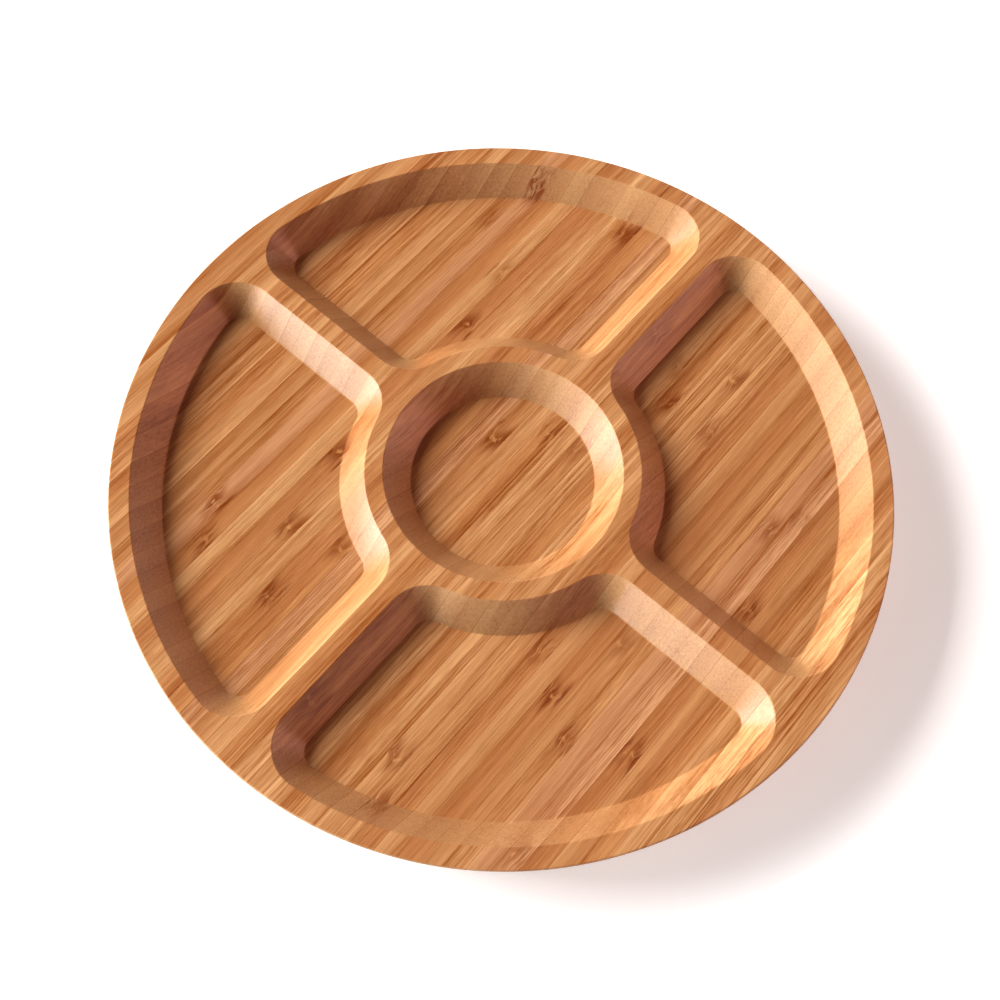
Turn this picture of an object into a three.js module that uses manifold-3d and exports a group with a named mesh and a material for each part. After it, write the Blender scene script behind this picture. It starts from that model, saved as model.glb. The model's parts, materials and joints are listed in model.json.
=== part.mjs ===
// A round bamboo serving tray with a round well in the middle and four wells around it.
// Its board is glued up from laths that stand on edge, all along X. The outline and the wells are
// routed through the laths, so every lath carries its own stretch of rim, rib, wall and floor.
// Millimetres, +Z up. The origin is the centre of the underside, and the ribs lie along X and Y.
import * as THREE from "three";
import { mergeVertices } from "three/addons/utils/BufferGeometryUtils.js";
import Module from "manifold-3d";

// Board
const trayDiameter = 200;
const trayThickness = 17;
const sideLean = 3; // the side leans in by this much from the rim down to the underside
const rimEase = 0.8; // chamfer on the rim's outer edge
const baseEase = 1.5; // chamfer on the underside's edge

// Laths
const lathCount = 43; // side by side from one edge of the tray to the other
const glueLine = 0.08; // film of glue between two laths

// Wells, with their walls measured at the top face
const wellDepth = 7.2;
const wallRun = 6.8; // how far a wall slopes in from its top edge to the floor
const centreWellRadius = 30.8;
const ringWidth = 4.7; // land between the middle well and the outer wells
const rimWidth = 5.4; // land between the outer wells and the side
const ribWidth = 5.2; // land between two outer wells
const floorCornerRadius = 4.3; // corners of an outer well's floor

// Facets
const roundSegments = 128; // round the whole tray
const arcSegments = 8; // each arc of an outer well's outline has twice as many
const overcut = 1; // a cutter reaches past what it cuts by this much

// Tones of bamboo, and the order in which the laths take them from -Y to +Y
const tones = {
  russet: 0xbb7744,
  amber: 0xc07c47,
  honey: 0xc4834f,
  straw: 0xcb8c57,
  pale: 0xd0935d,
  rose: 0xc9895a,
};
const toneOrder = [
  ["pale", "honey", "pale", "straw", "amber", "honey", "russet", "rose", "rose", "honey", "honey"],
  ["russet", "straw", "russet", "honey", "straw", "straw", "amber", "straw", "honey", "straw", "amber"],
  ["straw", "honey", "rose", "amber", "russet", "pale", "honey", "russet", "pale", "amber", "rose"],
  ["honey", "straw", "straw", "amber", "honey", "russet", "straw", "pale", "straw", "straw"],
].flat();
const oilRoughness = 0.45;

const trayRadius = trayDiameter / 2;
const floorHeight = trayThickness - wellDepth;
const wallSlope = wallRun / wellDepth;
const quarterTurn = Math.PI / 2;

const wasm = await Module();
wasm.setup();

// A closed geometry as a solid that can be joined and cut.
function solidOf(geometry) {
  const bare = geometry.clone();
  bare.deleteAttribute("normal");
  bare.deleteAttribute("uv");
  const merged = mergeVertices(bare);
  const corners = merged.index.array;
  const triangles = [];
  for (let i = 0; i < corners.length; i += 3) {
    const [a, b, c] = corners.slice(i, i + 3);
    const collapsed = a === b || b === c || c === a;
    if (!collapsed) triangles.push(a, b, c);
  }
  const mesh = new wasm.Mesh({
    numProp: 3,
    vertProperties: merged.attributes.position.array,
    triVerts: Uint32Array.from(triangles),
  });
  return new wasm.Manifold(mesh);
}

// A solid turned round Z from [radius, height] points that start and end on the axis.
function turned(profile) {
  const points = profile.map(([radius, height]) => new THREE.Vector2(radius, height));
  return solidOf(new THREE.LatheGeometry(points, roundSegments).rotateX(quarterTurn));
}

// The round blank, with its leaning side and eased edges.
function blank() {
  const baseRadius = trayRadius - sideLean;
  return turned([
    [0, 0],
    [baseRadius - baseEase, 0],
    [baseRadius, baseEase],
    [trayRadius, trayThickness - rimEase],
    [trayRadius - rimEase, trayThickness],
    [0, trayThickness],
  ]);
}

// What the router takes out for the round well in the middle.
function centreWellCut() {
  const height = wellDepth + overcut;
  const floorRadius = centreWellRadius - wallRun;
  return turned([
    [0, floorHeight],
    [floorRadius, floorHeight],
    [floorRadius + height * wallSlope, floorHeight + height],
    [0, floorHeight + height],
  ]);
}

// The floor outline of the outer well between +X and +Y: two straight sides along the ribs, an arc
// along the rim, an arc round the ring, and a fillet in each corner.
function outerFloorShape() {
  const side = ribWidth / 2 + wallRun;
  const rimRadius = trayRadius - rimWidth - wallRun;
  const ringRadius = centreWellRadius + ringWidth + wallRun;
  const fillet = floorCornerRadius;
  const offset = side + fillet; // from the rib's middle to a fillet's centre
  const rimAlong = Math.sqrt((rimRadius - fillet) ** 2 - offset ** 2);
  const ringAlong = Math.sqrt((ringRadius + fillet) ** 2 - offset ** 2);
  const rimAngle = Math.atan2(offset, rimAlong);
  const ringAngle = Math.atan2(offset, ringAlong);

  const shape = new THREE.Shape();
  shape.moveTo(ringAlong, side);
  shape.lineTo(rimAlong, side);
  shape.absarc(rimAlong, offset, fillet, -quarterTurn, rimAngle, false);
  shape.absarc(0, 0, rimRadius, rimAngle, quarterTurn - rimAngle, false);
  shape.absarc(offset, rimAlong, fillet, quarterTurn - rimAngle, Math.PI, false);
  shape.lineTo(side, ringAlong);
  shape.absarc(offset, ringAlong, fillet, Math.PI, 3 * quarterTurn - ringAngle, false);
  shape.absarc(0, 0, ringRadius, quarterTurn - ringAngle, ringAngle, true);
  shape.absarc(ringAlong, offset, fillet, Math.PI + ringAngle, 3 * quarterTurn, false);
  return shape;
}

// What the router takes out for one outer well, turned by a number of quarter turns from the first.
function outerWellCut(turns) {
  const height = wellDepth + overcut;
  const geometry = new THREE.ExtrudeGeometry(outerFloorShape(), {
    depth: overcut,
    curveSegments: arcSegments,
    bevelThickness: height,
    bevelSize: height * wallSlope,
    bevelSegments: 1,
  });
  geometry.translate(0, 0, floorHeight + height);
  geometry.rotateZ(turns * quarterTurn);
  return solidOf(geometry);
}

// The whole routed board, before it is parted into laths.
function routedBoard() {
  let board = blank().subtract(centreWellCut());
  for (let turns = 0; turns < 4; turns += 1) {
    board = board.subtract(outerWellCut(turns));
  }
  return board;
}

// The stretch of the board that one lath makes, counted from -Y, as a mesh with its own tone.
function lath(board, index) {
  const pitch = (trayDiameter + glueLine) / lathCount;
  const start = index * pitch - trayRadius;
  const low = index === 0 ? start - overcut : start;
  const high = index === lathCount - 1 ? start + pitch + overcut : start + pitch - glueLine;
  const length = trayDiameter + 2 * overcut;
  const height = trayThickness + 2 * overcut;
  const slice = new THREE.BoxGeometry(length, high - low, height);
  slice.translate(0, (low + high) / 2, trayThickness / 2);
  const { vertProperties, triVerts } = board.intersect(solidOf(slice)).getMesh();

  const geometry = new THREE.BufferGeometry();
  geometry.setAttribute("position", new THREE.BufferAttribute(vertProperties, 3));
  geometry.setIndex(new THREE.BufferAttribute(triVerts, 1));
  geometry.computeVertexNormals();
  const bamboo = new THREE.MeshStandardMaterial({
    color: tones[toneOrder[index % toneOrder.length]],
    roughness: oilRoughness,
    metalness: 0,
  });
  const mesh = new THREE.Mesh(geometry, bamboo);
  mesh.name = `slat_${String(index + 1).padStart(2, "0")}`;
  return mesh;
}

const board = routedBoard();
const tray = new THREE.Group();
tray.name = "compartment_tray";
for (let index = 0; index < lathCount; index += 1) {
  tray.add(lath(board, index));
}

export default tray;
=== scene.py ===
"""A round compartment tray of side-pressed bamboo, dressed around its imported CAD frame.

The board is built once, with its eased edges, and Geometry Nodes part it into the laths that it was
glued up from. Each lath stands for its own CAD node. The grain and the laths run along X.
"""

import json
import logging
import math
from dataclasses import dataclass, field
from enum import Enum

import bmesh
import bpy
from mathutils import Matrix, Vector
from mathutils.geometry import tessellate_polygon


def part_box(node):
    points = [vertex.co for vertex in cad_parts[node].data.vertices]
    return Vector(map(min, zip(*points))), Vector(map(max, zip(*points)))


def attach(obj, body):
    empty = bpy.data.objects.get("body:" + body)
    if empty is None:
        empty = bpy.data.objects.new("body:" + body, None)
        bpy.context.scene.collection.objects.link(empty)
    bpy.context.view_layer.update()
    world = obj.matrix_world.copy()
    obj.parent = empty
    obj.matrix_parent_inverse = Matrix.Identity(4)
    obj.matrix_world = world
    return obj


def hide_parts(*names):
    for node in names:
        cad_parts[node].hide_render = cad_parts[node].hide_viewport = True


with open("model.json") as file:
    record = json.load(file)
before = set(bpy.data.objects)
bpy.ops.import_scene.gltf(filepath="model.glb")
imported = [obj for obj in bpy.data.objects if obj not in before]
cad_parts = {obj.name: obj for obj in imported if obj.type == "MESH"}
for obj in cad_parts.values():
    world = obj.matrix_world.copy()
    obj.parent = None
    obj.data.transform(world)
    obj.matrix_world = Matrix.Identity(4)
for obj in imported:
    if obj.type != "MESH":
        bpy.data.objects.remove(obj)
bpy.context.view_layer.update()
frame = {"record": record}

LOG = logging.getLogger("compartment_tray")

MM = 0.001
BODY = "root"
CULM_ATTRIBUTE = "culm_marks"
SEED_ATTRIBUTE = "lath_seed"
SHADE_ATTRIBUTE = "lath_shade"
SOLVER = "MANIFOLD"
MIX_COLOURS = (6, 7)  # where a Mix node takes its two colours
MIX_RESULT = 2  # where it gives the mixed colour
HALF = 0.5
NOWHERE = 500.0  # a place along X, in millimetres, that no lath reaches

Point = tuple[float, float]
Range = tuple[float, float]
Space = tuple[float, float, float]
Colour = tuple[float, float, float]
Socket = bpy.types.NodeSocket

UNIT: Range = (0.0, 1.0)
FADE: Range = (1.0, 0.0)


class Tone(Enum):
    """Tones of bamboo, by the material slot of the record that each one is kept in."""

    RUSSET = "bamboo_russet"
    AMBER = "bamboo_amber"
    HONEY = "bamboo_honey"
    STRAW = "bamboo_straw"
    PALE = "bamboo_pale"
    ROSE = "bamboo_rose"


def eased_corner(before: Point, corner: Point, after: Point, radius: float, steps: int) -> list[Point]:
    """Round a corner of a profile with an arc that is tangent to both of its lines.

    Args:
        before: A point on the line that comes into the corner.
        corner: The corner itself.
        after: A point on the line that leaves the corner.
        radius: Radius of the arc.
        steps: Number of straight steps in the arc.

    Returns:
        The arc's points, from the incoming line to the leaving one.
    """
    middle = Vector(corner)
    incoming = (Vector(before) - middle).normalized()
    leaving = (Vector(after) - middle).normalized()
    half = incoming.angle(leaving) / 2
    centre = middle + (incoming + leaving).normalized() * radius / math.sin(half)
    start = middle + incoming * radius / math.tan(half) - centre
    end = middle + leaving * radius / math.tan(half) - centre
    sweep = math.atan2(start.cross(end), start.dot(end))
    arc = []
    for step in range(steps + 1):
        turn = Matrix.Rotation(sweep * step / steps, 2)
        arc.append(tuple(centre + turn @ start))
    return arc


@dataclass(frozen=True)
class Arc:
    """One arc of a well's outline, at the floor, with how it grows as the outline is set out."""

    centre: Point
    radius: float
    growth: float
    start: float
    end: float

    def points(self, outset: float, steps: int) -> list[Point]:
        """Walk the arc at an outline that is set out from the floor's.

        Args:
            outset: Distance from the floor's outline, outwards.
            steps: Number of straight steps in the arc.

        Returns:
            The points from the arc's start to its end.
        """
        radius = self.radius + self.growth * outset
        angles = [self.start + (self.end - self.start) * step / steps for step in range(steps + 1)]
        across, along = self.centre
        return [(across + radius * math.cos(a), along + radius * math.sin(a)) for a in angles]


@dataclass(frozen=True)
class Board:
    """The routed board. Sizes are in millimetres, as the CAD has them, with the easing of its edges."""

    diameter: float = 200.0
    thickness: float = 17.0
    side_lean: float = 3.0
    rim_round: float = 0.5
    base_round: float = 1.5
    well_depth: float = 7.2
    wall_run: float = 6.8
    centre_radius: float = 30.8
    ring_width: float = 4.7
    rim_width: float = 5.4
    rib_width: float = 5.2
    floor_corner: float = 4.3
    edge_round: float = 0.45
    foot_round: float = 0.6
    support: float = 0.06  # between a rounded edge and the flat beside it
    round_steps: int = 384  # round the whole tray
    facet: float = 1.1  # step along a well's outline
    fewest_steps: int = 4  # in each of its arcs
    same_point: float = 0.00006  # points closer than this are one
    edge_steps: int = 5  # in a rounded edge
    outer_wells: int = 4

    @property
    def radius(self) -> float:
        """Radius of the tray at its widest."""
        return self.diameter / 2

    @property
    def floor_height(self) -> float:
        """Height of the wells' floors above the underside."""
        return self.thickness - self.well_depth

    def wall_profile(self) -> list[Point]:
        """Give the section of a well's wall, from the land, over the eased edge, to the floor.

        Returns:
            Points of (distance outside the floor's outline, height).
        """
        land = (2 * self.wall_run, self.thickness)
        edge = (self.wall_run, self.thickness)
        foot = (0.0, self.floor_height)
        floor = (-self.wall_run, self.floor_height)
        over = eased_corner(land, edge, foot, self.edge_round, self.edge_steps)
        under = eased_corner(edge, foot, floor, self.foot_round, self.edge_steps)
        down = (Vector(foot) - Vector(edge)).normalized() * self.support
        first = (over[0][0] + self.support, self.thickness)
        last = (under[-1][0] - self.support, self.floor_height)
        wall_top = tuple(Vector(over[-1]) + down)
        wall_foot = tuple(Vector(under[0]) - down)
        return [first, *over, wall_top, wall_foot, *under, last]

    def side_profile(self) -> list[Point]:
        """Give the section of the tray's side, from the land, over the rim, to the underside.

        Returns:
            Points of (radius, height).
        """
        lean = math.atan2(self.side_lean, self.thickness - self.rim_round - self.base_round)
        reach = math.tan(math.pi / 4 + lean / 2) - 1
        rim = (self.radius + self.rim_round * reach, self.thickness)
        base = (rim[0] - self.thickness * math.tan(lean), 0.0)
        steps = 2 * self.edge_steps
        over = eased_corner((0.0, self.thickness), rim, base, self.rim_round, steps)
        under = eased_corner(rim, base, (0.0, 0.0), self.base_round, steps)
        down = (Vector(base) - Vector(rim)).normalized() * self.support
        first = (over[0][0] - self.support, self.thickness)
        last = (under[-1][0] - self.support, 0.0)
        side_top = tuple(Vector(over[-1]) + down)
        side_foot = tuple(Vector(under[0]) - down)
        return [first, *over, side_top, side_foot, *under, last]

    def circle(self, radius: float) -> list[Point]:
        """Give the points of a circle round the tray's middle.

        Args:
            radius: The circle's radius.

        Returns:
            The points, anticlockwise.
        """
        turn = 2 * math.pi / self.round_steps
        return [(radius * math.cos(i * turn), radius * math.sin(i * turn)) for i in range(self.round_steps)]

    def outer_arcs(self) -> list[Arc]:
        """List the arcs of an outer well's floor, between +X and +Y, anticlockwise.

        Returns:
            A corner, the rim, two corners, the ring and a last corner. Straight sides along the two
            ribs join the second corner to the third, and the last corner to the first.
        """
        side = self.rib_width / 2 + self.wall_run
        rim = self.radius - self.rim_width - self.wall_run
        ring = self.centre_radius + self.ring_width + self.wall_run
        fillet = self.floor_corner
        offset = side + fillet
        rim_along = math.sqrt((rim - fillet) ** 2 - offset**2)
        ring_along = math.sqrt((ring + fillet) ** 2 - offset**2)
        rim_angle = math.atan2(offset, rim_along)
        ring_angle = math.atan2(offset, ring_along)
        quarter = math.pi / 2
        return [
            Arc((rim_along, offset), fillet, 1, -quarter, rim_angle),
            Arc((0, 0), rim, 1, rim_angle, quarter - rim_angle),
            Arc((offset, rim_along), fillet, 1, quarter - rim_angle, math.pi),
            Arc((offset, ring_along), fillet, 1, math.pi, 3 * quarter - ring_angle),
            Arc((0, 0), ring, -1, quarter - ring_angle, ring_angle),
            Arc((ring_along, offset), fillet, 1, math.pi + ring_angle, 3 * quarter),
        ]

    def outer_outline(self, outset: float, turns: int) -> list[Point]:
        """Give an outer well's outline at some distance outside its floor.

        Args:
            outset: Distance from the floor's outline, outwards.
            turns: Quarter turns from the well between +X and +Y.

        Returns:
            The outline's points, as many for every outset.
        """
        turn = Matrix.Rotation(turns * math.pi / 2, 2)
        outline: list[Point] = []
        for arc in self.outer_arcs():
            top_radius = arc.radius + arc.growth * self.wall_run
            length = abs(arc.end - arc.start) * top_radius
            steps = max(self.fewest_steps, round(length / self.facet))
            for point in arc.points(outset, steps):
                placed = turn @ Vector(point)
                meets = outline and (placed - Vector(outline[-1])).length < self.same_point
                if not meets:
                    outline.append(tuple(placed))
        return outline

    def mesh(self) -> bpy.types.Mesh:
        """Build the whole board as one closed mesh, in metres.

        Returns:
            A mesh whose faces all point outwards.
        """
        builder = BoardBuilder()
        rim = builder.loft([(self.circle(radius), height) for radius, height in self.side_profile()])
        wall = self.wall_profile()
        floor_radius = self.centre_radius - self.wall_run
        wells = [builder.loft([(self.circle(floor_radius + out), height) for out, height in wall])]
        for turns in range(self.outer_wells):
            outlines = [(self.outer_outline(out, turns), height) for out, height in wall]
            wells.append(builder.loft(outlines))
        builder.cap(rim[-1])
        for well in wells:
            builder.cap(well[-1])
        builder.land(rim[0], [well[0] for well in wells])
        return builder.finish("routed_board")


class BoardBuilder:
    """Gathers the lofted rings, floors and land of a board in one bmesh."""

    def __init__(self) -> None:
        """Start with an empty mesh."""
        self.bm = bmesh.new()

    def loft(self, rings: list[tuple[list[Point], float]]) -> list[list[bmesh.types.BMVert]]:
        """Join closed rings of the same number of points with quads.

        Args:
            rings: Each ring's points and its height, in millimetres.

        Returns:
            The vertices of every ring.
        """
        made = []
        for points, height in rings:
            made.append([self.bm.verts.new((x * MM, y * MM, height * MM)) for x, y in points])
        for upper, lower in zip(made, made[1:]):
            count = len(upper)
            for i in range(count):
                self.bm.faces.new((upper[i], upper[(i + 1) % count], lower[(i + 1) % count], lower[i]))
        return made

    def cap(self, ring: list[bmesh.types.BMVert]) -> None:
        """Close a ring with one flat face.

        Args:
            ring: The ring's vertices.
        """
        self.bm.faces.new(ring)

    def land(self, outer: list[bmesh.types.BMVert], holes: list[list[bmesh.types.BMVert]]) -> None:
        """Fill the flat top between the rim and the wells.

        Args:
            outer: The ring along the rim.
            holes: The ring along the top of each well.
        """
        loops = [outer, *holes]
        corners = [vert for loop in loops for vert in loop]
        outlines = [[vert.co.copy() for vert in loop] for loop in loops]
        for triangle in tessellate_polygon(outlines):
            self.bm.faces.new([corners[i] for i in triangle])

    def finish(self, name: str) -> bpy.types.Mesh:
        """Turn the faces outwards and give the mesh.

        Args:
            name: Name of the new mesh.

        Returns:
            The finished mesh.
        """
        bmesh.ops.recalc_face_normals(self.bm, faces=self.bm.faces[:])
        mesh = bpy.data.meshes.new(name)
        self.bm.to_mesh(mesh)
        self.bm.free()
        return mesh


class NodeTree:
    """A node tree that is put together by short calls."""

    def __init__(self, tree: bpy.types.NodeTree) -> None:
        """Work on an existing tree.

        Args:
            tree: The tree that the nodes go into.
        """
        self.tree = tree

    def node(self, kind: str, inputs: dict | None = None, **settings: object) -> bpy.types.Node:
        """Add a node, set its properties and fill its sockets.

        Args:
            kind: Blender's name for the node type.
            inputs: Values or source sockets, by the input's name or number.
            **settings: Properties of the node itself.

        Returns:
            The new node.
        """
        made = self.tree.nodes.new(kind)
        for name, value in settings.items():
            setattr(made, name, value)
        for key, value in (inputs or {}).items():
            self.put(made.inputs[key], value)
        return made

    def put(self, socket: Socket, value: object) -> None:
        """Link a socket, or set its own value.

        Args:
            socket: The input to fill.
            value: A source socket, or a plain value.
        """
        if isinstance(value, Socket):
            self.tree.links.new(value, socket)
        else:
            socket.default_value = value

    def math(self, operation: str, *values: object) -> Socket:
        """Join numbers.

        Args:
            operation: Blender's name for the operation.
            *values: Values or sockets, in the node's order.

        Returns:
            The result's socket.
        """
        return self.node("ShaderNodeMath", dict(enumerate(values)), operation=operation).outputs[0]

    def vector(self, x: object, y: object, z: object) -> Socket:
        """Put three numbers together.

        Args:
            x: The first number or its socket.
            y: The second.
            z: The third.

        Returns:
            The vector's socket.
        """
        return self.node("ShaderNodeCombineXYZ", {0: x, 1: y, 2: z}).outputs[0]

    def parts(self, vector: Socket) -> tuple[Socket, ...]:
        """Take a vector apart.

        Args:
            vector: Socket of the vector.

        Returns:
            The sockets of its three numbers.
        """
        return tuple(self.node("ShaderNodeSeparateXYZ", {0: vector}).outputs)

    def ramp(self, value: object, edge: Range, span: Range = UNIT) -> Socket:
        """Map a value smoothly from one range to another, and hold it beyond the ends.

        Args:
            value: Socket of the value.
            edge: The incoming values at the two ends.
            span: What they become.

        Returns:
            The mapped value.
        """
        inputs = {"Value": value, 1: edge[0], 2: edge[1], 3: span[0], 4: span[1]}
        return self.node("ShaderNodeMapRange", inputs, interpolation_type="SMOOTHSTEP").outputs[0]

    def blend(self, share: object, first: object, second: object) -> Socket:
        """Mix two colours.

        Args:
            share: How much of the second colour shows.
            first: A colour or its socket.
            second: A colour or its socket.

        Returns:
            The mixed colour.
        """
        mixer = self.node("ShaderNodeMix", {0: share}, data_type="RGBA")
        for number, colour in zip(MIX_COLOURS, (first, second)):
            value = colour if isinstance(colour, Socket) else (*colour, 1.0)
            self.put(mixer.inputs[number], value)
        return mixer.outputs[MIX_RESULT]


class GeometryTree(NodeTree):
    """A Geometry Nodes tree with named inputs, run once on a mesh."""

    def __init__(self, name: str) -> None:
        """Start a tree that takes a geometry in and gives one out.

        Args:
            name: Name of the tree.
        """
        super().__init__(bpy.data.node_groups.new(name, "GeometryNodeTree"))
        self.idents: dict[str, str] = {}
        self.entry = self.tree.nodes.new("NodeGroupInput")
        self.give("Board", "NodeSocketGeometry")
        self.tree.interface.new_socket("Part", in_out="OUTPUT", socket_type="NodeSocketGeometry")

    def give(self, name: str, kind: str) -> Socket:
        """Add a named input.

        Args:
            name: The input's name.
            kind: Blender's name for the socket type.

        Returns:
            The socket that carries the input inside the tree.
        """
        item = self.tree.interface.new_socket(name, in_out="INPUT", socket_type=kind)
        self.idents[name] = item.identifier
        return self.entry.outputs[name]

    def floats(self, *names: str) -> list[Socket]:
        """Add named inputs that are plain numbers.

        Args:
            *names: The names of the inputs.

        Returns:
            The sockets that carry them inside the tree.
        """
        return [self.give(name, "NodeSocketFloat") for name in names]

    def meet(self, *solids: Socket) -> Socket:
        """Keep what solids have in common.

        Args:
            *solids: Sockets of closed meshes.

        Returns:
            The socket of the common part.
        """
        common = self.node("GeometryNodeMeshBoolean", operation="INTERSECT", solver=SOLVER)
        for solid in solids:
            self.tree.links.new(solid, common.inputs[1])
        return common.outputs[0]

    def note(self, part: Socket, name: str, kind: str, value: object) -> Socket:
        """Write a value down on every point of a mesh.

        Args:
            part: Socket of the mesh.
            name: Name of the attribute.
            kind: Blender's name for the attribute's data type.
            value: A plain value or its socket.

        Returns:
            The socket of the mesh with the attribute.
        """
        noted = self.node("GeometryNodeStoreNamedAttribute", data_type=kind, domain="POINT")
        for label, content in (("Geometry", part), ("Name", name), ("Value", value)):
            self.put(noted.inputs[label], content)
        return noted.outputs[0]

    def end(self, part: Socket, crease: Socket, finish: Socket) -> None:
        """Shade the part smooth between its creases, make its instances real and dress it.

        Args:
            part: Socket of the finished shape.
            crease: Socket of the edge angle from which an edge stays sharp.
            finish: Socket of the material.
        """
        angle = self.node("GeometryNodeInputMeshEdgeAngle").outputs["Unsigned Angle"]
        inputs = {0: angle, 1: crease}
        sharp = self.node("FunctionNodeCompare", inputs, operation="GREATER_THAN").outputs[0]
        inputs = {"Geometry": part, "Shade Smooth": True}
        smooth = self.node("GeometryNodeSetShadeSmooth", inputs, domain="FACE")
        inputs = {"Geometry": smooth.outputs[0], "Selection": sharp, "Shade Smooth": False}
        creased = self.node("GeometryNodeSetShadeSmooth", inputs, domain="EDGE")
        real = self.node("GeometryNodeRealizeInstances", {0: creased.outputs[0]})
        dressed = self.node("GeometryNodeSetMaterial", {"Geometry": real.outputs[0], "Material": finish})
        leave = self.node("NodeGroupOutput")
        self.tree.links.new(dressed.outputs[0], leave.inputs[0])

    def make(self, name: str, board: bpy.types.Mesh, values: dict[str, object]) -> bpy.types.Object:
        """Run the tree on the board and keep the result as a plain mesh.

        Args:
            name: Name of the new piece.
            board: The mesh that goes into the tree.
            values: The value of each named input.

        Returns:
            An object at the origin, without modifiers.
        """
        piece = bpy.data.objects.new(name, board)
        bpy.context.scene.collection.objects.link(piece)
        modifier = piece.modifiers.new(self.tree.name, "NODES")
        modifier.node_group = self.tree
        for label, value in values.items():
            modifier[self.idents[label]] = value
        depsgraph = bpy.context.evaluated_depsgraph_get()
        mesh = bpy.data.meshes.new_from_object(piece.evaluated_get(depsgraph))
        piece.modifiers.clear()
        piece.data = mesh
        mesh.name = name
        return piece


class ShaderTree(NodeTree):
    """A material's node tree, on Object coordinates in millimetres."""

    def __init__(self, name: str) -> None:
        """Start a material with a principled surface.

        Args:
            name: Name of the material.
        """
        self.material = bpy.data.materials.new(name)
        self.material.use_nodes = True
        super().__init__(self.material.node_tree)
        self.surface = self.tree.nodes["Principled BSDF"]
        place = self.node("ShaderNodeTexCoord").outputs["Object"]
        self.place = self.spread(place, (1 / MM, 1 / MM, 1 / MM))
        self.x, self.y = self.parts(self.place)[:2]

    def attribute(self, name: str) -> bpy.types.Node:
        """Read an attribute that the mesh carries.

        Args:
            name: Name of the attribute.

        Returns:
            The node that gives it.
        """
        return self.node("ShaderNodeAttribute", attribute_type="GEOMETRY", attribute_name=name)

    def combine(self, operation: str, first: Socket, second: object) -> Socket:
        """Join two vectors.

        Args:
            operation: Blender's name for the operation.
            first: Socket of a vector.
            second: Another vector or its socket.

        Returns:
            The result's socket.
        """
        return self.node("ShaderNodeVectorMath", {0: first, 1: second}, operation=operation).outputs[0]

    def spread(self, place: Socket, scale: Space) -> Socket:
        """Stretch a point along the axes.

        Args:
            place: Socket of the point.
            scale: Factors along X, Y and Z.

        Returns:
            The socket of the stretched point.
        """
        return self.node("ShaderNodeMapping", {"Vector": place, "Scale": scale}).outputs[0]

    def noise(self, place: Socket, scale: Space, detail: float = 2.0, rough: float = 0.5) -> Socket:
        """Sample soft noise that is stretched along the axes.

        Args:
            place: Socket of the point to sample, in millimetres.
            scale: Cells per millimetre along X, Y and Z.
            detail: Number of finer layers.
            rough: Share of the finer layers.

        Returns:
            A value round one half.
        """
        inputs = {"Vector": self.spread(place, scale), "Scale": 1.0, "Detail": detail, "Roughness": rough}
        return self.node("ShaderNodeTexNoise", inputs).outputs[0]

    def swing(self, place: Socket, scale: Space, detail: float = 2.0) -> Socket:
        """Sample soft noise to both sides of nought.

        Args:
            place: Socket of the point to sample, in millimetres.
            scale: Cells per millimetre along X, Y and Z.
            detail: Number of finer layers.

        Returns:
            A value round nought.
        """
        return self.math("SUBTRACT", self.noise(place, scale, detail), HALF)

    def cells(self, place: Socket, scale: Space) -> Socket:
        """Sample how far a point is from the middle of its cell.

        Args:
            place: Socket of the point to sample, in millimetres.
            scale: Cells per millimetre along X, Y and Z.

        Returns:
            The distance, in cells.
        """
        inputs = {"Vector": self.spread(place, scale), "Scale": 1.0}
        return self.node("ShaderNodeTexVoronoi", inputs).outputs["Distance"]

    def dress(self, values: dict[str, object]) -> bpy.types.Material:
        """Fill the sockets of the principled surface.

        Args:
            values: Values or source sockets, by the name of the surface's socket.

        Returns:
            The material.
        """
        for name, value in values.items():
            self.put(self.surface.inputs[name], value)
        return self.material


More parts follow.
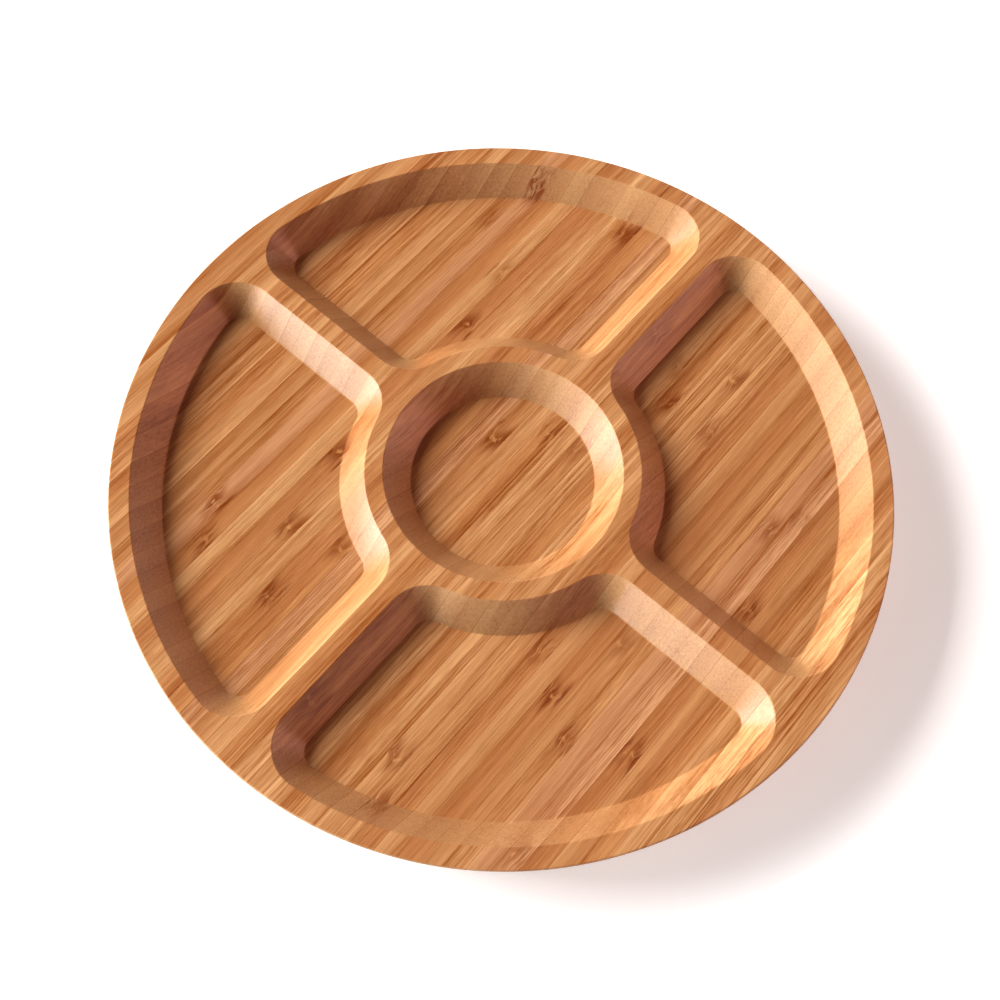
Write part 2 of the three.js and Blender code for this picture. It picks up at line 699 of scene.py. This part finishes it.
@dataclass(frozen=True)
class BambooFinish:
    """Oiled bamboo of one tone. Lengths are in millimetres, and colours are linear."""

    tone: Tone
    colour: Colour
    pitch: float
    radius: float

    # Tone, and how fast each channel darkens
    oil: Colour = (1.0, 0.925, 0.64)
    depth: Colour = (1.0, 1.80, 3.35)
    shade: float = 0.55
    light: float = 1.40
    skin_shade: float = 0.16

    # Fibres along the lath
    grain_scale: Space = (0.022, 0.50, 0.11)
    grain_detail: float = 4.0
    grain_rough: float = 0.95
    grain_spread: float = 0.26
    thread_scale: Space = (0.010, 2.20, 0.35)
    thread_share: float = 0.45
    figure: Range = (0.6, 1.4)

    # Bundles of fibres
    bundle_scale: Space = (0.028, 1.30, 1.30)
    bundle_core: Range = (0.12, 0.38)
    bundle_share: Range = (0.18, 0.65)
    bundle_shade: float = 0.58
    bundle_pit: float = 0.6

    # Walls that cut the fibres across, paler partly by their own end grain and partly by painted sheen
    end_grain: Range = (0.20, 0.65)
    end_calm: float = 0.70
    end_pale_and_sheen: float = 0.55
    end_colour_and_sheen: Colour = (0.488, 0.258, 0.104)
    end_speck: float = 0.65
    speck_scale: Space = (0.03, 2.40, 2.40)

    # Joints of the stem
    culm_shade: float = 0.45
    culm_light: float = 1.30
    culm_reach: float = 7.0
    culm_bow: float = 10.0
    culm_bend: float = 2.6
    ridge_edge: Range = (0.2, 0.9)
    ridge_sides: Range = (0.20, 0.38)
    ridge_share: float = 0.8
    break_scale: Space = (0.45, 0.85, 0.85)
    break_edge: Range = (0.44, 0.60)
    crack_scale: Space = (0.06, 2.40, 0.35)
    crack_edge: Range = (0.34, 0.41)
    crack_shade: float = 0.30
    stain_scale: Space = (0.09, 0.70, 0.40)
    stain_edge: Range = (0.36, 0.60)

    # Bends of the fibres, and the shift from lath to lath
    wobble_scale: Space = (0.05, 0.75, 0.75)
    wobble: float = 2.0
    ripple_scale: Space = (0.20, 0.30, 0.30)
    ripple: float = 0.2
    wander_scale: Space = (0.022, 0.10, 0.10)
    shuffle: Space = (700.0, 90.0, 90.0)

    # Surface
    grain_height: float = 0.035
    bump: float = 0.5
    gloss_band: Range = (0.25, 0.75)
    roughness: Range = (0.52, 0.40)
    specular: float = 0.45
    coat: float = 0.80
    coat_roughness: float = 0.28

    def tinted(self, factor: float) -> Colour:
        """Give the tone's colour, made darker or lighter as bamboo does: blue first, red last.

        Args:
            factor: How light the colour is, with one for the tone itself.

        Returns:
            The linear colour.
        """
        channels = zip(self.colour, self.oil, self.depth)
        return tuple(channel * oil * factor**depth for channel, oil, depth in channels)

    def material(self) -> bpy.types.Material:
        """Build the node material.

        Returns:
            A material with fibres along X, bundle ends where they are cut across, and culm marks.
        """
        return BambooTree(self).paint()


class BambooTree(ShaderTree):
    """The node tree of a bamboo finish, with the sockets that its layers share.

    Attributes:
        luck: Three chances of the lath's own.
        moved: The point, shifted from lath to lath.
        skin: From nought inside the stem to one at its skin.
        middle: Distance from the lath's middle, as a share of the pitch.
        facing: How squarely the surface cuts the fibres.
        away: Distance along the lath from the nearer joint of the stem.
        near: How much of that joint shows at the point.
        strength: How strongly the lath shows its joints.
        bent: The moved point, bent with the fibres.
    """

    def __init__(self, finish: BambooFinish) -> None:
        """Start the material and find where a point lies in its lath.

        Args:
            finish: The tone and the measures of the bamboo.
        """
        super().__init__(finish.tone.value)
        self.finish = finish
        inputs = {"W": self.attribute(SEED_ATTRIBUTE).outputs["Fac"]}
        chance = self.node("ShaderNodeTexWhiteNoise", inputs, noise_dimensions="1D").outputs["Color"]
        self.luck = self.parts(chance)
        offset = self.combine("MULTIPLY", chance, finish.shuffle)
        self.moved = self.combine("ADD", self.place, offset)
        counted = self.math("DIVIDE", self.math("ADD", self.y, finish.radius), finish.pitch)
        across = self.math("FRACT", counted)
        flipped = self.math("GREATER_THAN", self.luck[1], HALF)
        self.skin = self.math("ABSOLUTE", self.math("SUBTRACT", across, flipped))
        self.middle = self.math("SUBTRACT", across, HALF)
        normal = self.parts(self.node("ShaderNodeNewGeometry").outputs["Normal"])
        self.facing = self.math("ABSOLUTE", normal[0])
        self.away, self.near, self.strength = self.joint()
        self.bent = self.bend()

    def joint(self) -> tuple[Socket, Socket, Socket]:
        """Find the nearer joint of the stem.

        Returns:
            How far it is, how much of it shows here, and how strongly the lath shows its joints.
        """
        finish = self.finish
        side = self.math("SIGN", self.math("SUBTRACT", self.luck[0], HALF))
        turn = self.math("MULTIPLY", side, finish.culm_bow)
        bow = self.math("MULTIPLY", self.math("MULTIPLY", self.middle, self.middle), turn)
        wobble = self.swing(self.moved, finish.wobble_scale)
        along = self.math("ADD", self.math("MULTIPLY_ADD", wobble, finish.wobble, self.x), bow)
        first, second, strength = self.parts(self.attribute(CULM_ATTRIBUTE).outputs["Vector"])
        to_first = self.math("ABSOLUTE", self.math("SUBTRACT", along, first))
        to_second = self.math("ABSOLUTE", self.math("SUBTRACT", along, second))
        away = self.math("MINIMUM", to_first, to_second)
        near = self.math("MULTIPLY", self.ramp(away, (0.0, finish.culm_reach), FADE), strength)
        return away, near, strength

    def bend(self) -> Socket:
        """Bend a point with the fibres, most of all near a joint of the stem.

        Returns:
            The socket of the bent point.
        """
        finish = self.finish
        ripple = self.swing(self.moved, finish.ripple_scale, detail=1.0)
        wander = self.swing(self.moved, finish.wander_scale, detail=1.0)
        liveliness = self.math("MULTIPLY_ADD", self.near, finish.culm_bend, finish.ripple)
        sideways = self.math("MULTIPLY_ADD", ripple, liveliness, wander)
        return self.combine("ADD", self.moved, self.vector(0.0, sideways, sideways))

    def by_cut(self, along: float, across: float) -> Socket:
        """Give one value on faces along the fibres, and another where the fibres are cut across.

        Args:
            along: The value along the fibres.
            across: The value across them.

        Returns:
            The value's socket.
        """
        return self.ramp(self.facing, self.finish.end_grain, (along, across))

    def streaks(self, grain: Socket) -> Socket:
        """Colour the fibres: darker at the skin, calmer and paler where cut across, partly as painted
        sheen.

        Args:
            grain: Socket of the coarse grain.

        Returns:
            The colour's socket.
        """
        finish = self.finish
        threads = self.swing(self.bent, finish.thread_scale)
        mixed = self.math("MULTIPLY_ADD", threads, finish.thread_share, grain)
        figure = self.ramp(self.luck[2], UNIT, finish.figure)
        contrast = self.math("MULTIPLY", figure, self.by_cut(1.0, 1.0 - finish.end_calm))
        slope = self.math("MULTIPLY", self.math("SUBTRACT", mixed, HALF), contrast)
        outwards = self.math("SUBTRACT", self.skin, HALF)
        slope = self.math("MULTIPLY_ADD", outwards, -finish.skin_shade, slope)
        slope = self.math("ADD", slope, self.attribute(SHADE_ATTRIBUTE).outputs["Fac"])
        speck = self.swing(self.bent, finish.speck_scale, detail=1.0)
        slope = self.math("MULTIPLY_ADD", speck, self.by_cut(0.0, finish.end_speck), slope)
        inputs = {"Value": slope, 1: -finish.grain_spread, 2: finish.grain_spread}
        level = self.node("ShaderNodeMapRange", inputs).outputs[0]
        colour = self.blend(level, finish.tinted(finish.shade), finish.tinted(finish.light))
        # Paler where the fibres are cut across: partly the end grain's own colour, partly painted sheen.
        return self.blend(self.by_cut(0.0, finish.end_pale_and_sheen), colour, finish.end_colour_and_sheen)

    def bundles(self, core: Socket, colour: Socket) -> Socket:
        """Lay the darker bundles of fibres over a colour, denser towards the skin.

        Args:
            core: Socket that is one in the middle of a bundle and nought outside it.
            colour: Socket of the colour below.

        Returns:
            The new colour's socket.
        """
        finish = self.finish
        dense = self.ramp(self.skin, UNIT, finish.bundle_share)
        fibre = tuple(channel * finish.bundle_shade for channel in finish.tinted(1.0))
        return self.blend(self.math("MULTIPLY", core, dense), colour, fibre)

    def culm_marks(self, colour: Socket) -> Socket:
        """Lay the marks of the stem's joints over a colour: a stain, a broken pale ridge and cracks.

        Args:
            colour: Socket of the colour below.

        Returns:
            The new colour's socket.
        """
        finish = self.finish
        stain = self.ramp(self.noise(self.bent, finish.stain_scale), finish.stain_edge)
        stain = self.math("MULTIPLY", self.near, stain)
        colour = self.blend(stain, colour, finish.tinted(finish.culm_shade))

        ridge = self.ramp(self.away, finish.ridge_edge, (finish.ridge_share, 0.0))
        inside = self.ramp(self.math("ABSOLUTE", self.middle), finish.ridge_sides, FADE)
        broken = self.ramp(self.noise(self.moved, finish.break_scale), finish.break_edge)
        shown = self.math("MULTIPLY", broken, self.strength)
        ridge = self.math("MULTIPLY", self.math("MULTIPLY", ridge, inside), shown)
        colour = self.blend(ridge, colour, finish.tinted(finish.culm_light))

        crack = self.ramp(self.noise(self.bent, finish.crack_scale), finish.crack_edge, FADE)
        crack = self.math("MULTIPLY", crack, self.near)
        return self.blend(crack, colour, finish.tinted(finish.crack_shade))

    def paint(self) -> bpy.types.Material:
        """Lay the layers over each other and dress the surface.

        Returns:
            The finished material.
        """
        finish = self.finish
        grain = self.noise(self.bent, finish.grain_scale, finish.grain_detail, finish.grain_rough)
        core = self.ramp(self.cells(self.bent, finish.bundle_scale), finish.bundle_core, FADE)
        colour = self.streaks(grain)
        colour = self.bundles(core, colour)
        colour = self.culm_marks(colour)
        height = self.math("MULTIPLY_ADD", core, -finish.bundle_pit, grain)
        inputs = {"Height": height, "Strength": finish.bump, "Distance": finish.grain_height * MM}
        return self.dress({
            "Base Color": colour,
            "Roughness": self.ramp(grain, finish.gloss_band, finish.roughness),
            "Specular IOR Level": finish.specular,
            "Coat Weight": finish.coat,
            "Coat Roughness": finish.coat_roughness,
            "Normal": self.node("ShaderNodeBump", inputs).outputs[0],
        })


@dataclass(frozen=True)
class GlueFinish:
    """Set wood glue, in some seams darker than in others. Lengths are in millimetres."""

    pitch: float
    radius: float
    clear: Colour = (0.42, 0.150, 0.046)
    stained: Colour = (0.16, 0.042, 0.010)
    stain_scale: Space = (0.05, 0.3, 0.1)
    stain_edge: Range = (0.95, 1.50)
    roughness: float = 0.5

    def material(self) -> bpy.types.Material:
        """Build the node material.

        Returns:
            A material whose colour changes from seam to seam and a little along each.
        """
        tree = ShaderTree("wood_glue")
        counted = tree.math("DIVIDE", tree.math("ADD", tree.y, self.radius), self.pitch)
        inputs = {"W": tree.math("ROUND", counted)}
        chance = tree.node("ShaderNodeTexWhiteNoise", inputs, noise_dimensions="1D").outputs["Value"]
        along = tree.noise(tree.place, self.stain_scale)
        dark = tree.ramp(tree.math("ADD", chance, along), self.stain_edge)
        return tree.dress({
            "Base Color": tree.blend(dark, self.clear, self.stained),
            "Roughness": self.roughness,
        })


@dataclass(frozen=True)
class CulmMark:
    """Where a lath crosses a joint of the bamboo stem, along X in millimetres, once or twice."""

    first: float
    second: float = NOWHERE
    strength: float = 1.0


@dataclass
class Laths:
    """The laths on edge that the board is glued up from, numbered from -Y to +Y."""

    board: Board
    count: int = 43
    glue_line: float = 0.08
    overcut: float = 1.0
    crease: float = math.radians(40.0)
    marks: dict[int, CulmMark] = field(default_factory=lambda: {
        7: CulmMark(-34.0, 14.0, 0.9),
        8: CulmMark(-71.0, 43.0, 0.6),
        9: CulmMark(35.0, strength=0.7),
        10: CulmMark(-42.0, strength=0.8),
        11: CulmMark(-15.0, strength=0.5),
        12: CulmMark(-36.0, strength=0.9),
        14: CulmMark(-29.0, strength=0.8),
        15: CulmMark(-82.0, 47.0, 0.7),
        16: CulmMark(-72.0, 63.0, 0.7),
        18: CulmMark(46.0, strength=1.0),
        19: CulmMark(57.0, strength=0.5),
        20: CulmMark(19.0, strength=0.5),
        21: CulmMark(-76.0, 58.0, 0.7),
        22: CulmMark(18.0, strength=0.8),
        24: CulmMark(7.0, strength=1.0),
        26: CulmMark(-42.0, strength=0.8),
        27: CulmMark(-63.0, 80.0, 1.0),
        29: CulmMark(-46.0, strength=1.0),
        30: CulmMark(-22.0, 29.0, 1.0),
        31: CulmMark(48.0, strength=0.5),
        32: CulmMark(-62.0, strength=0.9),
        33: CulmMark(-54.0, 74.0, 1.0),
        34: CulmMark(58.0, strength=0.5),
    })
    unmarked: CulmMark = CulmMark(NOWHERE, strength=0.0)
    shades: dict[int, float] = field(default_factory=lambda: {
        1: -0.04, 2: -0.04, 34: -0.06, 35: -0.07, 41: -0.09, 42: -0.12, 43: -0.12,
    })

    @property
    def pitch(self) -> float:
        """Distance from one lath to the next."""
        return (self.board.diameter + self.glue_line) / self.count

    def tree(self) -> GeometryTree:
        """Build the tree that parts one lath from the board.

        Returns:
            A tree that keeps the board between two faces across Y and writes down the lath's marks.
        """
        tree = GeometryTree("lath_from_board")
        low, high, length, height = tree.floats("Low face", "High face", "Length", "Height")
        seed, shade, crease = tree.floats("Seed", "Shade", "Crease")
        marks = tree.give("Culm marks", "NodeSocketVector")
        finish = tree.give("Finish", "NodeSocketMaterial")
        size = tree.vector(length, tree.math("SUBTRACT", high, low), tree.math("ADD", height, height))
        cutter = tree.node("GeometryNodeMeshCube", {"Size": size})
        middle = tree.math("MULTIPLY", tree.math("ADD", low, high), HALF)
        inputs = {"Geometry": cutter.outputs["Mesh"], "Translation": tree.vector(0.0, middle, 0.0)}
        placed = tree.node("GeometryNodeTransform", inputs)
        lath = tree.meet(tree.entry.outputs["Board"], placed.outputs[0])
        lath = tree.note(lath, CULM_ATTRIBUTE, "FLOAT_VECTOR", marks)
        lath = tree.note(lath, SEED_ATTRIBUTE, "FLOAT", seed)
        lath = tree.note(lath, SHADE_ATTRIBUTE, "FLOAT", shade)
        tree.end(lath, crease, finish)
        return tree

    def finishes(self) -> dict[str, bpy.types.Material]:
        """Build one material for each tone, in the record's own colours.

        Returns:
            The materials by slot.
        """
        made = {}
        for slot in frame["record"]["materials"]:
            tone = Tone(slot["slot"])
            colour = tuple(slot["base_color"][:3])
            made[tone.value] = BambooFinish(tone, colour, self.pitch, self.board.radius).material()
        return made

    def build(self, mesh: bpy.types.Mesh) -> list[bpy.types.Object]:
        """Part the board into laths and let each one stand for its CAD node.

        Args:
            mesh: The whole board.

        Returns:
            The laths, from -Y to +Y.
        """
        tree = self.tree()
        finishes = self.finishes()
        slots = {part["node"]: part["material_slot"] for part in frame["record"]["subparts"]}
        pieces = []
        for number in range(1, self.count + 1):
            node = f"slat_{number:02d}"
            lowest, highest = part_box(node)
            mark = self.marks.get(number, self.unmarked)
            values = {
                "Low face": lowest.y - (self.overcut * MM if number == 1 else 0.0),
                "High face": highest.y + (self.overcut * MM if number == self.count else 0.0),
                "Length": (self.board.diameter + 2 * self.overcut) * MM,
                "Height": (self.board.thickness + self.overcut) * MM,
                "Culm marks": (mark.first, mark.second, mark.strength),
                "Seed": float(number),
                "Shade": self.shades.get(number, 0.0),
                "Crease": self.crease,
                "Finish": finishes[slots[node]],
            }
            piece = tree.make(f"lath_{number:02d}", mesh, values)
            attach(piece, BODY)
            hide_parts(node)
            LOG.info("%s: %d faces, %s", piece.name, len(piece.data.polygons), slots[node])
            pieces.append(piece)
        return pieces


@dataclass
class GlueFilms:
    """The films of glue in the seams, a hair below the surface."""

    laths: Laths
    recess: float = 0.004

    def tree(self) -> GeometryTree:
        """Build the tree that fills every seam of the board.

        Returns:
            A tree that repeats one thin sheet along Y and keeps what lies in the board.
        """
        tree = GeometryTree("glue_in_seams")
        count = tree.give("Seams", "NodeSocketInt")
        first, pitch, film, recess = tree.floats("First seam", "Pitch", "Film", "Recess")
        length, height, crease = tree.floats("Length", "Height", "Crease")
        finish = tree.give("Finish", "NodeSocketMaterial")
        sheet = tree.node("GeometryNodeMeshCube", {"Size": tree.vector(length, film, height)})
        lift = tree.math("MULTIPLY_ADD", height, HALF, tree.math("ADD", recess, recess))
        inputs = {
            "Count": count,
            "Start Location": tree.vector(0.0, first, lift),
            "Offset": tree.vector(0.0, pitch, 0.0),
        }
        row = tree.node("GeometryNodeMeshLine", inputs, mode="OFFSET", count_mode="TOTAL")
        inputs = {"Points": row.outputs[0], "Instance": sheet.outputs["Mesh"]}
        spread = tree.node("GeometryNodeInstanceOnPoints", inputs)
        sheets = tree.node("GeometryNodeRealizeInstances", {0: spread.outputs[0]})
        films = tree.meet(tree.entry.outputs["Board"], sheets.outputs[0])
        down = tree.vector(0.0, 0.0, tree.math("MULTIPLY", recess, -1.0))
        sunk = tree.node("GeometryNodeTransform", {"Geometry": films, "Translation": down})
        tree.end(sunk.outputs[0], crease, finish)
        return tree

    def build(self, mesh: bpy.types.Mesh) -> bpy.types.Object:
        """Fill the seams of the board.

        Args:
            mesh: The whole board.

        Returns:
            All the films as one piece.
        """
        laths = self.laths
        board = laths.board
        values = {
            "Seams": laths.count - 1,
            "First seam": (laths.pitch - laths.glue_line / 2 - board.radius) * MM,
            "Pitch": laths.pitch * MM,
            "Film": laths.glue_line * MM,
            "Recess": self.recess * MM,
            "Length": (board.diameter + 2 * laths.overcut) * MM,
            "Height": (board.thickness + laths.overcut) * MM,
            "Crease": laths.crease,
            "Finish": GlueFinish(laths.pitch, board.radius).material(),
        }
        piece = self.tree().make("glue_films", mesh, values)
        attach(piece, BODY)
        LOG.info("%s: %d faces", piece.name, len(piece.data.polygons))
        return piece


def seen_ray(tree: NodeTree) -> Socket:
    """Tell the rays that show a background from those that light the tray.

    Args:
        tree: The floor's tree.

    Returns:
        One for camera, glossy and transmission rays, and nought for the rest.
    """
    path = tree.node("ShaderNodeLightPath").outputs
    mirrored = tree.math("MAXIMUM", path["Is Glossy Ray"], path["Is Transmission Ray"])
    return tree.math("MAXIMUM", path["Is Camera Ray"], mirrored)


@dataclass(frozen=True)
class Lamp:
    """A rectangular soft light that looks at the tray. Lengths are in metres, angles in degrees."""

    name: str
    azimuth: float
    elevation: float
    distance: float
    width: float
    height: float
    watts: float
    colour: Colour = (1.0, 1.0, 1.0)
    mirrored: bool = False

    def build(self) -> bpy.types.Object:
        """Hang the lamp, out of the camera's sight and, unless it is mirrored, without a glare.

        Returns:
            The lamp's object.
        """
        light = bpy.data.lights.new(self.name, "AREA")
        light.shape = "RECTANGLE"
        light.size = self.width
        light.size_y = self.height
        light.energy = self.watts
        light.color = self.colour
        lamp = bpy.data.objects.new(self.name, light)
        lamp.visible_camera = False
        lamp.visible_glossy = self.mirrored
        azimuth = math.radians(self.azimuth)
        elevation = math.radians(self.elevation)
        flat = math.cos(elevation)
        towards = Vector((flat * math.cos(azimuth), flat * math.sin(azimuth), math.sin(elevation)))
        facing = towards.to_track_quat("Z", "Y").to_matrix().to_4x4()
        lamp.matrix_world = Matrix.Translation(towards * self.distance) @ facing
        bpy.context.scene.collection.objects.link(lamp)
        return lamp


@dataclass
class Studio:
    """The camera, the floor and the light. Lengths are in metres, angles in degrees."""

    eye: Space = (-0.11024, -0.08392, 0.32662)
    aim: Space = (-0.00724, -0.00505, 0.017)
    roll: float = 3.449
    lens: float = 47.786
    sensor: float = 36.0
    floor_size: float = 6.0
    floor_colour: Colour = (0.92, 0.92, 0.92)
    floor_glow: float = 0.45
    floor_fade: Range = (0.25, 1.50)
    fill: Colour = (0.085, 0.058, 0.047)
    horizon: Colour = (1.0, 1.0, 1.0)
    horizon_band: Range = (0.13, 0.20)
    lamps: tuple[Lamp, ...] = (
        Lamp(
            "window_light", azimuth=112.4, elevation=29.5, distance=3.0, width=2.0, height=1.14,
            watts=180.0,
        ),
        Lamp(
            "low_light", azimuth=145.0, elevation=7.6, distance=2.4, width=3.2, height=0.6,
            watts=69.0, colour=(0.88, 1.02, 1.11), mirrored=True,
        ),
        Lamp(
            "far_wall_light", azimuth=-54.0, elevation=21.0, distance=0.75, width=0.5, height=0.31,
            watts=1.51, colour=(1.0, 0.42, 0.30), mirrored=True,
        ),
    )

    def camera(self) -> bpy.types.Object:
        """Stand the camera where the photograph was taken.

        Returns:
            The camera's object.
        """
        data = bpy.data.cameras.new("camera")
        data.sensor_width = self.sensor
        data.lens = self.lens
        camera = bpy.data.objects.new("camera", data)
        eye = Vector(self.eye)
        look = (Vector(self.aim) - eye).to_track_quat("-Z", "Y").to_matrix().to_4x4()
        lean = Matrix.Rotation(math.radians(self.roll), 4, "Z")
        camera.matrix_world = Matrix.Translation(eye) @ look @ lean
        bpy.context.scene.collection.objects.link(camera)
        bpy.context.scene.camera = camera
        return camera

    def floor(self) -> bpy.types.Object:
        """Lay the pale floor. It glows a little to the camera, and far out enough to come out white.

        Returns:
            The floor's object.
        """
        half = self.floor_size / 2
        mesh = bpy.data.meshes.new("floor")
        corners = [(-half, -half, 0.0), (half, -half, 0.0), (half, half, 0.0), (-half, half, 0.0)]
        mesh.from_pydata(corners, [], [(0, 1, 2, 3)])
        tree = ShaderTree("floor_paper")
        squares = tree.math("MULTIPLY_ADD", tree.x, tree.x, tree.math("MULTIPLY", tree.y, tree.y))
        away = tree.math("MULTIPLY", tree.math("SQRT", squares), MM)
        glow = tree.ramp(away, self.floor_fade, (self.floor_glow, 1.0))
        paper = tree.dress({
            "Base Color": (*self.floor_colour, 1.0),
            "Roughness": 1.0,
            "Specular IOR Level": 0.0,
            "Emission Color": (1.0, 1.0, 1.0, 1.0),
            "Emission Strength": tree.math("MULTIPLY", seen_ray(tree), glow),
        })
        mesh.materials.append(paper)
        floor = bpy.data.objects.new("floor", mesh)
        bpy.context.scene.collection.objects.link(floor)
        return floor

    def world(self) -> bpy.types.World:
        """Fill the shadows from above, and let the sky go white towards the horizon.

        Returns:
            The world.
        """
        world = bpy.data.worlds.new("studio")
        world.use_nodes = True
        tree = NodeTree(world.node_tree)
        way = tree.node("ShaderNodeTexCoord").outputs["Generated"]
        above = tree.ramp(tree.parts(way)[2], self.horizon_band)
        sky = tree.blend(above, self.horizon, self.fill)
        tree.put(world.node_tree.nodes["Background"].inputs["Color"], sky)
        bpy.context.scene.world = world
        return world

    def build(self) -> None:
        """Set up the camera, the floor, the lamps and the world."""
        self.camera()
        self.floor()
        for lamp in self.lamps:
            lamp.build()
        self.world()
        bpy.context.scene.view_settings.view_transform = "Standard"


def main() -> None:
    """Build the studio, part the board into laths and glue them up."""
    logging.basicConfig(level=logging.INFO, format="%(name)s %(message)s")
    Studio().build()
    board = Board()
    mesh = board.mesh()
    LOG.info("board: %d faces", len(mesh.polygons))
    laths = Laths(board)
    laths.build(mesh)
    GlueFilms(laths).build(mesh)
    bpy.data.meshes.remove(mesh)


if __name__ == "__main__":
    main()
